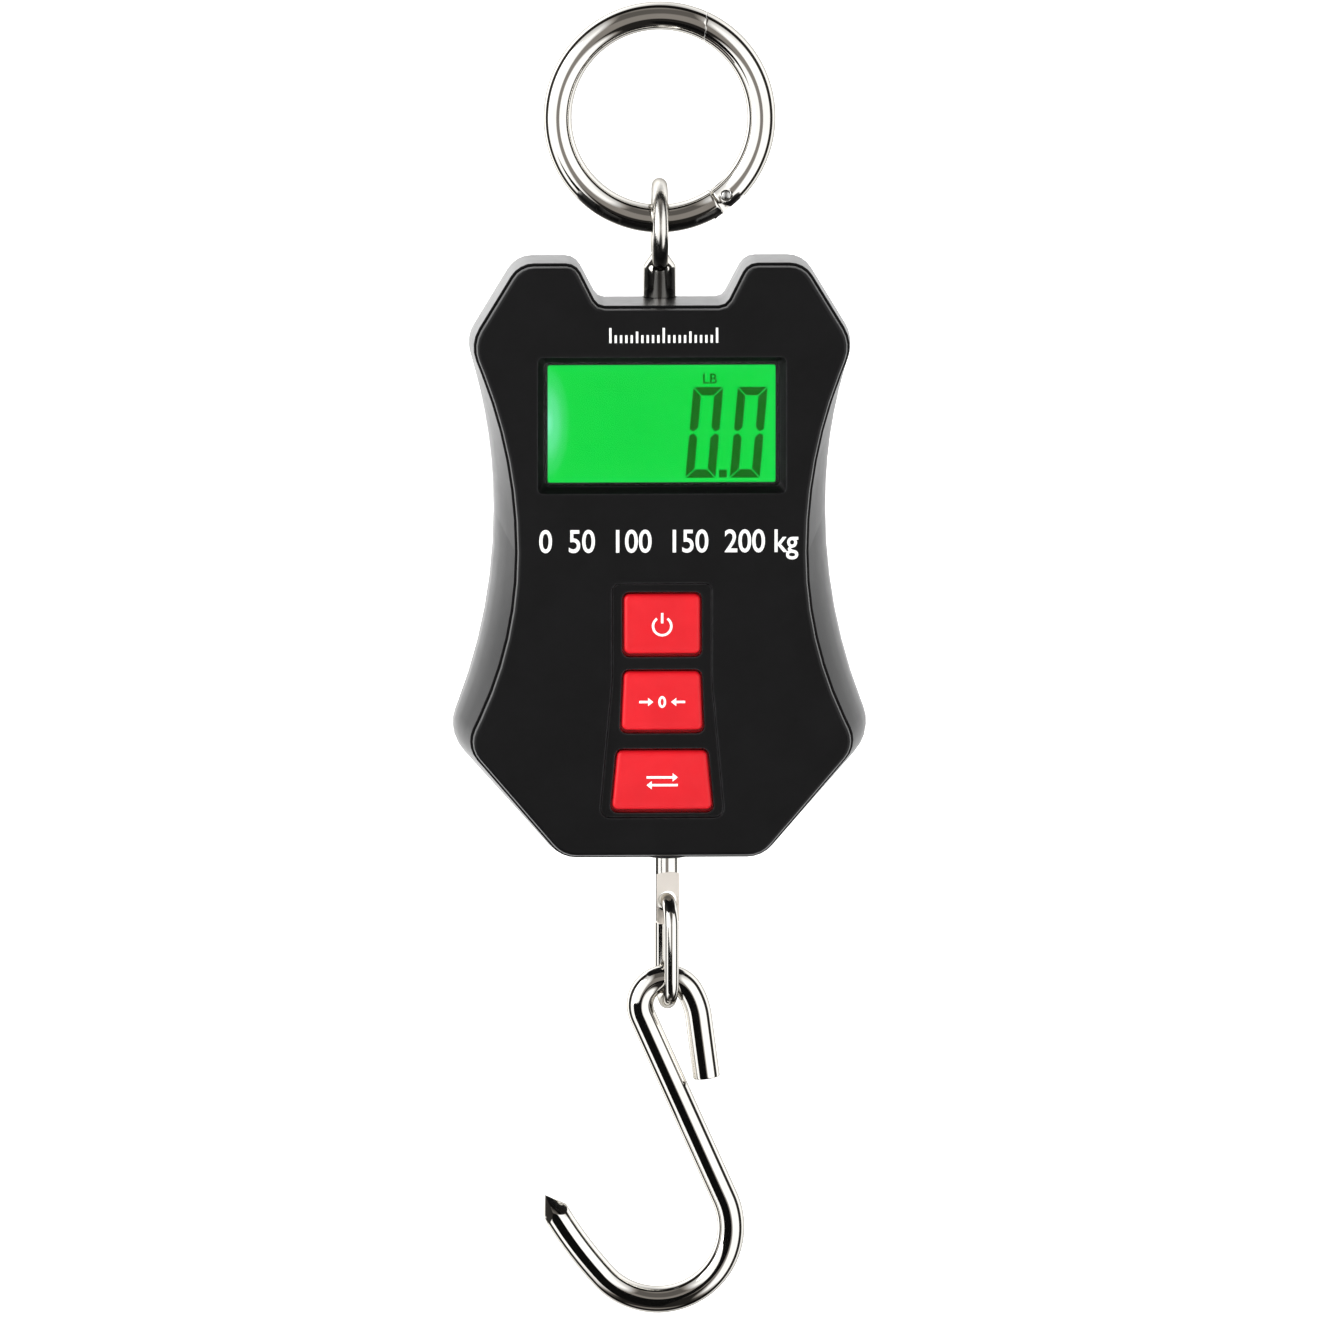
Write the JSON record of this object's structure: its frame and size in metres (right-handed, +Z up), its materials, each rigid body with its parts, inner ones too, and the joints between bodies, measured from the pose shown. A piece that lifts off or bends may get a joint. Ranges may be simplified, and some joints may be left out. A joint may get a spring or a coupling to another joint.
{
  "type": "digital hanging scale",
  "caption": "Battery hanging scale: waisted black case with a green display and red keys, a gated ring on an eye bolt above, and a swivel stud, link and S-hook below.",
  "frame": {"origin": "on the flat back face of the case, on the case's middle plane (X = 0) and half way up the case between the waist arcs", "axes": "+Z up towards the hanging ring, +Y out of the back of the case, so the display faces -Y, and +X to the right seen from the front"},
  "size_m": [0.0796, 0.0352, 0.2542],
  "materials": {
    "case_plastic": "satin black moulding",
    "window_clear": "clear, polished",
    "display_glass": "backlit green",
    "inner_plastic": "natural",
    "light_guide": "clear, diffusing",
    "contact_rubber": "matte",
    "circuit_board": "solder mask",
    "chip_plastic": "matte",
    "key_red": "satin",
    "cell_aluminium": "machined",
    "gauge_film": "film",
    "cable_grey": "matte",
    "wire_red": "matte",
    "wire_black": "matte",
    "plated_steel": "nickel plated, bright",
    "bare_steel": "zinc plated",
    "bush_brass": "sintered",
    "battery_jacket": "printed sleeve, unprinted here"
  },
  "bodies": {
    "case": {"front_cover": "case_plastic", "rear_housing": "case_plastic", "stud_grommet": "case_plastic", "window_lens": "window_clear", "lcd_panel": "display_glass", "lcd_frame": "inner_plastic", "light_guide": "light_guide", "backlight_led": "inner_plastic", "zebra_strip": "contact_rubber", "main_board": "circuit_board", "mcu_chip": "chip_plastic", "amplifier_chip": "chip_plastic", "switch_power": "chip_plastic", "switch_tare": "chip_plastic", "switch_unit": "chip_plastic", "load_cell": "cell_aluminium", "strain_gauge_1": "gauge_film", "strain_gauge_2": "gauge_film", "strain_gauge_3": "gauge_film", "strain_gauge_4": "gauge_film", "cell_cable": "cable_grey", "battery_wire_red": "wire_red", "battery_wire_black": "wire_black", "eye_bolt": "plated_steel", "eye_washer": "bare_steel", "eye_nut": "bare_steel", "thrust_washer": "bare_steel", "stud_bush": "bush_brass", "battery_left": "battery_jacket", "battery_right": "battery_jacket", "contact_bridge": "bare_steel", "contact_plate_left": "bare_steel", "contact_plate_right": "bare_steel", "contact_spring_left": "bare_steel", "contact_spring_right": "bare_steel", "case_screw_1": "bare_steel", "case_screw_2": "bare_steel", "case_screw_3": "bare_steel", "case_screw_4": "bare_steel", "board_screw_1": "bare_steel", "board_screw_2": "bare_steel", "board_screw_3": "bare_steel", "board_screw_4": "bare_steel"},
    "ring": {"ring_body": "plated_steel", "gate_pin": "bare_steel"},
    "gate": {"ring_gate": "plated_steel", "gate_spring": "bare_steel"},
    "stud": {"lower_stud": "plated_steel", "stud_nut": "bare_steel"},
    "link": {"chain_link": "plated_steel"},
    "hook": {"s_hook": "plated_steel"},
    "power_key": {"button_power": "key_red", "switch_plunger_power": "inner_plastic"},
    "tare_key": {"button_tare": "key_red", "switch_plunger_tare": "inner_plastic"},
    "unit_key": {"button_unit": "key_red", "switch_plunger_unit": "inner_plastic"},
    "battery_door": {"battery_cover": "case_plastic"}
  },
  "joints": [
    {"name": "ring_tilt", "type": "hinge", "parent": "case", "child": "ring", "pos_m": [0, -0.0185, 0.0643], "axis": [1, 0, 0], "range_deg": [-90, 90]},
    {"name": "gate_open", "type": "hinge", "parent": "ring", "child": "gate", "pos_m": [0.0127, -0.0185, 0.06898], "axis": [0, 1, 0], "range_deg": [0, 28], "stiffness_Nm_per_rad": 0.05},
    {"name": "stud_swivel", "type": "hinge", "parent": "case", "child": "stud", "pos_m": [0.0014, -0.0185, -0.03], "axis": [0, 0, 1], "continuous": true},
    {"name": "link_swing", "type": "hinge", "parent": "stud", "child": "link", "pos_m": [0.0014, -0.0185, -0.0722], "axis": [0.9848, 0.1736, 0], "range_deg": [-60, 60]},
    {"name": "hook_swing", "type": "hinge", "parent": "link", "child": "hook", "pos_m": [0.0014, -0.0185, -0.08805], "axis": [0, 1, 0], "range_deg": [-30, 30]},
    {"name": "power_press", "type": "slide", "parent": "case", "child": "power_key", "axis": [0, 1, 0], "range_m": [0, 0.0008], "stiffness_N_per_m": 400},
    {"name": "tare_press", "type": "slide", "parent": "case", "child": "tare_key", "axis": [0, 1, 0], "range_m": [0, 0.0008], "stiffness_N_per_m": 400},
    {"name": "unit_press", "type": "slide", "parent": "case", "child": "unit_key", "axis": [0, 1, 0], "range_m": [0, 0.0008], "stiffness_N_per_m": 400},
    {"name": "door_slide", "type": "slide", "parent": "case", "child": "battery_door", "axis": [0, 0, -1], "range_m": [0, 0.007]}
  ]
}
